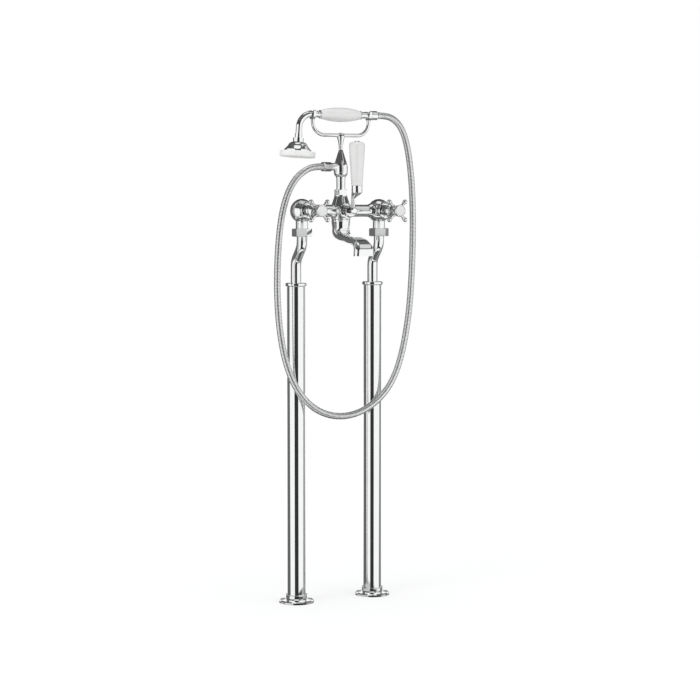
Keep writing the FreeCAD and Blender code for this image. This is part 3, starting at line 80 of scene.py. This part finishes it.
# ---------------------------------------------------------------- shader helpers
class Shader:
    """A material's or world's node tree, with short calls for the nodes used here."""

    def __init__(self, name, tree=None):
        self.material = None
        if tree is None:
            self.material = bpy.data.materials.new(name)
            self.material.use_nodes = True
            tree = self.material.node_tree
        self.tree = tree
        tree.nodes.clear()

    def add(self, kind, inputs=(), **settings):
        node = self.tree.nodes.new(kind)
        for key, setting in settings.items():
            setattr(node, key, setting)
        for key, given in dict(inputs).items():
            if isinstance(given, bpy.types.NodeSocket):
                self.tree.links.new(given, node.inputs[key])
            else:
                node.inputs[key].default_value = given
        return node

    def place(self, scale=(1, 1, 1)):
        """Object coordinates, which are the frame's, because a dressed object is at the origin."""
        where = self.add("ShaderNodeTexCoord").outputs["Object"]
        return self.add("ShaderNodeMapping", {"Vector": where, "Scale": scale}).outputs[0]

    def noise(self, where, scale, detail):
        inputs = {"Vector": where, "Scale": scale, "Detail": detail, "Roughness": 0.5}
        return self.add("ShaderNodeTexNoise", inputs).outputs["Fac"]

    def ramp(self, fac, stops):
        """Stops are (place, grey or colour)."""
        node = self.add("ShaderNodeValToRGB", {"Fac": fac})
        elements = node.color_ramp.elements
        while len(elements) < len(stops):
            elements.new(0.5)
        for element, (place, colour) in zip(elements, stops):
            if not isinstance(colour, tuple):
                colour = (colour, colour, colour)
            element.position = place
            element.color = (*colour, 1)
        return node.outputs["Color"]

    def between(self, fac, low, high):
        """Maps 0..1 to low..high."""
        inputs = {"Value": fac, "To Min": low, "To Max": high}
        return self.add("ShaderNodeMapRange", inputs).outputs["Result"]

    def combine(self, operation, a, b):
        return self.add("ShaderNodeMath", {0: a, 1: b}, operation=operation).outputs[0]

    def bump(self, height, strength, distance):
        inputs = {"Height": height, "Strength": strength, "Distance": distance}
        return self.add("ShaderNodeBump", inputs).outputs["Normal"]

    def surface(self, **inputs):
        """A Principled surface as the output."""
        named = {key.replace("_", " "): given for key, given in inputs.items()}
        self.output(self.add("ShaderNodeBsdfPrincipled", named))
        return self.material

    def output(self, shader, kind="ShaderNodeOutputMaterial"):
        self.add(kind, {"Surface": shader.outputs[0]})


# ---------------------------------------------------------------- finishes
CHROME_COLOUR = (0.93, 0.935, 0.94)
HOSE_COLOUR = (0.97, 0.975, 0.98)


def chrome(name, colour, rough, ripple):
    """Polished plate: a faint haze in the gloss and the slight ripple of a polished casting."""
    s = Shader(name)
    where = s.place()
    haze = s.noise(where, scale=45, detail=4)
    wipe = s.noise(s.place((1, 1, 0.2)), scale=260, detail=2)
    sheen = s.between(s.combine("MULTIPLY", haze, wipe), *rough)
    uneven = s.bump(s.noise(where, scale=38, detail=1.5), strength=ripple, distance=0.6 * MM)
    tint = s.ramp(haze, [(0.3, tuple(c * 0.97 for c in colour)), (0.7, colour)])
    return s.surface(Base_Color=tint, Metallic=1.0, Roughness=sheen, Normal=uneven)


def brass():
    s = Shader("machined_brass")
    tone = s.noise(s.place(), scale=90, detail=4)
    turning = s.noise(s.place((1, 40, 1)), scale=60, detail=1)
    return s.surface(
        Base_Color=s.ramp(tone, [(0.3, (0.47, 0.38, 0.22)), (0.7, (0.58, 0.48, 0.3))]),
        Metallic=1.0,
        Roughness=s.between(tone, 0.22, 0.38),
        Normal=s.bump(turning, strength=0.12, distance=0.2 * MM),
    )


def steel():
    s = Shader("stainless_steel")
    grain = s.noise(s.place((1, 30, 1)), scale=80, detail=2)
    return s.surface(
        Base_Color=s.ramp(grain, [(0.3, 0.5), (0.7, 0.62)]),
        Metallic=1.0,
        Roughness=s.between(grain, 0.18, 0.32),
        Normal=s.bump(grain, strength=0.1, distance=0.2 * MM),
    )


def ceramic():
    """White glaze: faint pooling in the tone, a soft body under a clear coat."""
    s = Shader("glazed_ceramic")
    where = s.place()
    pool = s.noise(where, scale=26, detail=3)
    glaze = s.noise(where, scale=120, detail=2)
    return s.surface(
        Base_Color=s.ramp(pool, [(0.25, (0.74, 0.74, 0.72)), (0.75, (0.8, 0.8, 0.785))]),
        Roughness=s.between(pool, 0.1, 0.2),
        Subsurface_Weight=0.08,
        Subsurface_Radius=(0.004, 0.004, 0.003),
        Coat_Weight=0.6,
        Coat_Roughness=0.04,
        Normal=s.bump(glaze, strength=0.06, distance=0.4 * MM),
    )


def resin(name, low, high, rough, grain):
    """Moulded plastic or rubber with a fine even grain, its tone between two colours."""
    s = Shader(name)
    where = s.place()
    tint = s.ramp(s.noise(where, scale=60, detail=4), [(0.3, low), (0.7, high)])
    fine = s.noise(where, scale=900, detail=2)
    return s.surface(
        Base_Color=tint,
        Roughness=s.between(fine, *rough),
        Normal=s.bump(fine, strength=grain, distance=0.3 * MM),
    )


def make_finishes():
    return {
        "chrome": chrome("polished_chrome", CHROME_COLOUR, rough=(0.03, 0.12), ripple=0.05),
        "tube": chrome("drawn_chrome_tube", CHROME_COLOUR, rough=(0.03, 0.07), ripple=0.01),
        "hose_chrome": chrome("hose_chrome", HOSE_COLOUR, rough=(0.07, 0.18), ripple=0.06),
        "brass": brass(),
        "steel": steel(),
        "glazed_ceramic": ceramic(),
        "cream_resin": resin(
            "spray_face",
            low=(0.84, 0.845, 0.82),
            high=(0.88, 0.885, 0.865),
            rough=(0.22, 0.34),
            grain=0.03,
        ),
        "dark_resin": resin(
            "dark_resin",
            low=(0.03, 0.03, 0.032),
            high=(0.06, 0.06, 0.062),
            rough=(0.4, 0.55),
            grain=0.1,
        ),
        "seal_rubber": resin(
            "seal_rubber",
            low=(0.012, 0.012, 0.012),
            high=(0.025, 0.025, 0.025),
            rough=(0.55, 0.75),
            grain=0.15,
        ),
    }


TUBES = ("standpipe", "riser_tube")  # drawn, so without a casting's ripple


def dress_nodes(finishes):
    """Gives every node the finish that the record names for it."""
    slots = {part["node"]: part["material_slot"] for part in frame["record"]["subparts"]}
    for name, node in frame["nodes"].items():
        kind = "tube" if name.endswith(TUBES) else slots[name]
        node.data.materials.clear()
        node.data.materials.append(finishes[kind])


# ---------------------------------------------------------------- studio
WORLD_FILL = 0.9
FLOOR_HALF = 20
FLOOR_GLOW = (0.65, 0.59)  # away from the lamps, and right under them, where they add the most
FLOOR_FADE = 0.6  # the second glow has faded into the first at 1 / 0.6 m from the middle


def seen_rays(s):
    """1 for the rays that show a background: the camera's, the gloss's and those through glass."""
    rays = s.add("ShaderNodeLightPath").outputs
    direct = s.combine("MAXIMUM", rays["Is Camera Ray"], rays["Is Glossy Ray"])
    return s.combine("MAXIMUM", direct, rays["Is Transmission Ray"])


def mixed(s, fac, first, second):
    inputs = {0: fac, 1: first.outputs[0], 2: second.outputs[0]}
    return s.add("ShaderNodeMixShader", inputs)


def make_world():
    world = bpy.data.worlds.new("studio")
    scene.world = world
    world.use_nodes = True
    s = Shader("studio", world.node_tree)
    white = s.add("ShaderNodeBackground", {"Color": (1, 1, 1, 1), "Strength": 1.0})
    fill = s.add("ShaderNodeBackground", {"Color": (0.98, 0.99, 1, 1), "Strength": WORLD_FILL})
    s.output(mixed(s, seen_rays(s), fill, white), "ShaderNodeOutputWorld")


def make_floor():
    """A plain white floor that keeps a faint shadow."""
    s = Shader("white_floor")
    where = s.place((FLOOR_FADE, FLOOR_FADE, 1))
    near = s.add("ShaderNodeTexGradient", {"Vector": where}, gradient_type="SPHERICAL")
    glow = s.between(near.outputs["Fac"], *FLOOR_GLOW)
    white = s.add("ShaderNodeEmission", {"Color": (1, 1, 1, 1), "Strength": glow})
    matt = s.add("ShaderNodeBsdfDiffuse", {"Color": (0.4, 0.4, 0.4, 1)})
    lit = s.add("ShaderNodeAddShader", {0: white.outputs[0], 1: matt.outputs[0]})
    plain = s.add("ShaderNodeBsdfDiffuse", {"Color": (0.8, 0.8, 0.8, 1)})
    s.output(mixed(s, seen_rays(s), plain, lit))
    half = FLOOR_HALF
    corners = [(-half, -half, 0), (half, -half, 0), (half, half, 0), (-half, half, 0)]
    floor = stage_piece("floor", corners, [(0, 1, 2, 3)], s.material)
    floor.visible_glossy = False  # the cards' reflections run down past it
    floor.visible_diffuse = False  # so the undersides are lit from below


def stage_piece(name, verts, faces, material):
    mesh = bpy.data.meshes.new(name)
    mesh.from_pydata(verts, [], faces)
    mesh.materials.append(material)
    made = bpy.data.objects.new(name, mesh)
    scene.collection.objects.link(made)
    return made


# Cards of several greys, which only the gloss sees, because polished chrome shows little but what
# stands round it. Each stands on part of a circle round CARDS_MIDDLE. The columns are its name,
# the bearings from the camera's own where it begins and ends, its distance, its lowest and
# highest points, and its grey.
CARDS = (
    # in front, which makes the dark stripes down the middle of the tubes: nearly black, with a
    # pale strip that the flat facets of the union nuts show
    ("card_below_nuts", -24, 23, 1.16, -0.7, 0.744, 0.035),
    ("card_at_nuts", -24, 23, 1.16, 0.744, 0.786, 0.68),
    ("card_above_nuts", -24, 23, 1.16, 0.786, 1.5, 0.035),
    # under the floor's level, shown by the rims of the floor flanges
    ("ground_left", -120, -24, 1.16, -0.7, -0.21, 0.55),
    ("ground_front", 23, 68, 1.16, -0.7, -0.21, 0.04),
    ("ground_right", 68, 120, 1.16, -0.7, -0.21, 0.4),
    # behind, for the outermost edges of the tubes
    ("back_card", 160, 200, 2.5, 0.2, 0.75, 0.3),
    # high up all the way round, for the sides that look upwards
    ("low_band", 108, 414, 3.0, 1.95, 3.25, 0.08),
    ("high_band", 108, 414, 3.0, 3.25, 10.5, 0.13),
    # the gap in those bands: pale patches that light the top of the spout and of the bar
    ("spout_line", 54, 68, 3.0, 1.95, 2.45, 0.06),
    ("spout_light", 54, 68, 3.0, 2.45, 6.6, 0.7),
    ("spout_high", 54, 68, 3.0, 6.6, 10.5, 0.13),
    ("spout_dark", 68, 108, 3.0, 1.95, 3.4, 0.08),
    ("spout_top", 68, 108, 3.0, 3.4, 6.6, 0.7),
    ("spout_end", 68, 108, 3.0, 6.6, 10.5, 0.13),
)
CARDS_MIDDLE = Vector((0, PLANE_Y, 0.75))

# A hoop behind the object, which darkens the edges of all that is round. It is part of a sphere
# round CARDS_MIDDLE. At these turns (right, above, left, below and right again) it starts at
# these angles from the camera's bearing, and has these greys.
HOOP_TURNS = (0, 90, 180, 270, 360)
HOOP_STARTS = (111, 117, 89, 62, 111)
HOOP_GREYS = (0.26, 0.05, 0.15, 0.1, 0.26)
HOOP_END, HOOP_RADIUS, HOOP_RINGS = 145, 2.5, 10

STUDIO_STEP = 6  # degrees from one upright of a card or spoke of the hoop to the next


def card_finish(name, grey=None):
    """A plain grey that lights nothing, or the grey that the mesh has at each point."""
    s = Shader(name)
    if grey is None:
        grey = s.add("ShaderNodeAttribute", attribute_name="grey").outputs["Fac"]
    s.output(s.add("ShaderNodeEmission", {"Color": (1, 1, 1, 1), "Strength": grey}))
    return s.material


def only_gloss(thing):
    thing.visible_camera = False
    thing.visible_diffuse = False
    thing.visible_shadow = False
    thing.visible_volume_scatter = False


def make_cards():
    for name, first, last, distance, low, high, grey in CARDS:
        count = math.ceil((last - first) / STUDIO_STEP)
        verts = []
        for i in range(count + 1):
            bearing = AZIMUTH + math.radians(first + (last - first) * i / count)
            foot = CARDS_MIDDLE + direction(bearing, 0) * distance
            verts += [(foot.x, foot.y, low), (foot.x, foot.y, high)]
        faces = [(2 * i, 2 * i + 2, 2 * i + 3, 2 * i + 1) for i in range(count)]
        only_gloss(stage_piece(name, verts, faces, card_finish(name, grey)))


def make_hoop():
    """Part of a sphere round the camera's bearing, open in front and in the middle of the back."""
    forward, right = direction(AZIMUTH, 0), direction(AZIMUTH + math.pi / 2, 0)
    spokes = 360 // STUDIO_STEP
    verts, faces, greys = [], [], []
    for i in range(spokes):
        turn = i * STUDIO_STEP
        side = right * math.cos(math.radians(turn)) + UP * math.sin(math.radians(turn))
        start = float(np.interp(turn, HOOP_TURNS, HOOP_STARTS))
        grey = float(np.interp(turn, HOOP_TURNS, HOOP_GREYS))
        for k in range(HOOP_RINGS + 1):
            angle = math.radians(start + (HOOP_END - start) * k / HOOP_RINGS)
            outward = forward * math.cos(angle) + side * math.sin(angle)
            verts.append(tuple(CARDS_MIDDLE + outward * HOOP_RADIUS))
            greys.append(grey)
    for i in range(spokes):
        here, there = i * (HOOP_RINGS + 1), (i + 1) % spokes * (HOOP_RINGS + 1)
        faces += [(here + k, there + k, there + k + 1, here + k + 1) for k in range(HOOP_RINGS)]
    hoop = stage_piece("hoop", verts, faces, card_finish("hoop"))
    hoop.data.attributes.new("grey", "FLOAT", "POINT").data.foreach_set("value", greys)
    only_gloss(hoop)


# name, bearing from the camera's own, elevation, distance, diameter and power
LAMPS = (
    ("key_lamp", -45, 48, 3.2, 1.6, 18),
    ("fill_lamp", 60, 20, 3.6, 2.2, 12),
)
LAMPS_AIM = Vector((0, 0, 0.6))


def make_lamps():
    for name, bearing, elevation, distance, size, power in LAMPS:
        data = bpy.data.lights.new(name, "AREA")
        data.shape = "DISK"
        data.size = size
        data.energy = power
        lamp = bpy.data.objects.new(name, data)
        towards = direction(AZIMUTH + math.radians(bearing), math.radians(elevation))
        stand_off(lamp, LAMPS_AIM, towards, distance)
        lamp.visible_glossy = False


# ---------------------------------------------------------------- hose
# The CAD's route, from the column's outlet to the handset: x and height in mm, in the mixer's
# plane.
HOSE_ROUTE = [
    (-43, 906.5),
    (-63, 906.5),
    (-84, 898.5),
    (-106, 880),
    (-124, 849),
    (-137, 805),
    (-145, 735),
    (-147.5, 655),
    (-142, 572),
    (-127, 500),
    (-101, 444),
    (-61, 404),
    (-8, 386),
    (46, 393),
    (94, 421),
    (128, 464),
    (149, 524),
    (163, 600),
    (169.5, 680),
    (172, 765),
    (171.5, 830),
    (168, 885),
    (161, 937),
    (151.5, 973),
    (139.5, 994.5),
    (125.4, 1006.9),
    (108.2, 1013.5),
    (90, 1013.5),
]
HOSE_DIAMETER = 14 * MM
HOSE_PITCH = 2.9 * MM  # from one turn of the wound strip to the next
HOSE_SIDES = 28
HOSE_GROOVE = 0.5 * MM
HOSE_SHOULDER = 0.22 * MM
# One turn, as shares of the pitch and depths under the crown: a crowned band, then the groove.
HOSE_TURN = (
    (0.0, HOSE_GROOVE),
    (0.1, HOSE_SHOULDER),
    (0.28, 0.0),
    (0.62, 0.0),
    (0.8, HOSE_SHOULDER),
    (0.9, HOSE_GROOVE),
)


def hose_line():
    """Points read from the route's smooth spline."""
    data = bpy.data.curves.new("hose_route", "CURVE")
    data.dimensions = "3D"
    data.resolution_u = 12
    spline = data.splines.new("NURBS")
    spline.points.add(len(HOSE_ROUTE) - 1)
    for point, (x, z) in zip(spline.points, HOSE_ROUTE):
        point.co = (x * MM, PLANE_Y, z * MM, 1)
    spline.order_u = 3
    spline.use_endpoint_u = True
    carrier = bpy.data.objects.new("hose_route", data)
    mesh = bpy.data.meshes.new_from_object(carrier)
    line = np.array([v.co for v in mesh.vertices])
    bpy.data.meshes.remove(mesh)
    bpy.data.objects.remove(carrier)
    bpy.data.curves.remove(data)
    return line


def along(line, places):
    """The points and directions at these distances along a line of points."""
    steps = np.linalg.norm(np.diff(line, axis=0), axis=1)
    marks = np.concatenate([[0], np.cumsum(steps)])
    spots = np.array([[np.interp(p, marks, line[:, axis]) for axis in range(3)] for p in places])
    ahead = np.gradient(spots, axis=0)
    return spots, ahead / np.linalg.norm(ahead, axis=1)[:, None]


def hose_rings(length):
    """Where the hose's rings lie along it, and their radii."""
    turns = round(length / HOSE_PITCH)
    pitch = length / turns
    crown = HOSE_DIAMETER / 2
    places = [(turn + share) * pitch for turn in range(turns) for share, _ in HOSE_TURN]
    radii = [crown - depth for _ in range(turns) for _, depth in HOSE_TURN]
    return places + [length], radii + [crown - HOSE_GROOVE]


def hose_mesh(line, length):
    """A closed tube of rings along the line, which lies in one plane."""
    places, radii = hose_rings(length)
    spots, ahead = along(line, places)
    across = np.array([0.0, 1.0, 0.0])
    angles = np.linspace(0, 2 * math.pi, HOSE_SIDES, endpoint=False)
    verts, faces = [], []
    for spot, tangent, radius in zip(spots, ahead, radii):
        up = np.cross(tangent, across)
        verts += [tuple(spot + radius * (math.cos(a) * across + math.sin(a) * up)) for a in angles]
    for i in range(len(places) - 1):
        here, there = i * HOSE_SIDES, (i + 1) * HOSE_SIDES
        for j in range(HOSE_SIDES):
            k = (j + 1) % HOSE_SIDES
            faces.append((here + j, there + j, there + k, here + k))
    last = (len(places) - 1) * HOSE_SIDES
    faces.append(tuple(range(HOSE_SIDES)))
    faces.append(tuple(reversed(range(last, last + HOSE_SIDES))))
    mesh = bpy.data.meshes.new("hose")
    mesh.from_pydata(verts, [], faces)
    mesh.validate()
    fix_normals(mesh)
    mesh.shade_smooth()
    return mesh


def fix_normals(mesh):
    work = bmesh.new()
    work.from_mesh(mesh)
    bmesh.ops.recalc_face_normals(work, faces=work.faces)
    work.to_mesh(mesh)
    work.free()


def make_hose(finish):
    """Wound metal hose: round turns with a tight groove between them, along the smooth route."""
    line = hose_line()
    length = float(np.linalg.norm(np.diff(line, axis=0), axis=1).sum())
    mesh = hose_mesh(line, length)
    mesh.materials.append(finish)
    hose = bpy.data.objects.new("hose", mesh)
    scene.collection.objects.link(hose)
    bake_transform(hose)
    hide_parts("shower_hose")


# ---------------------------------------------------------------- build
make_camera()
finishes = make_finishes()
dress_nodes(finishes)
make_hose(finishes["hose_chrome"])
make_world()
make_floor()
make_cards()
make_hoop()
make_lamps()
scene.view_settings.view_transform = "Standard"
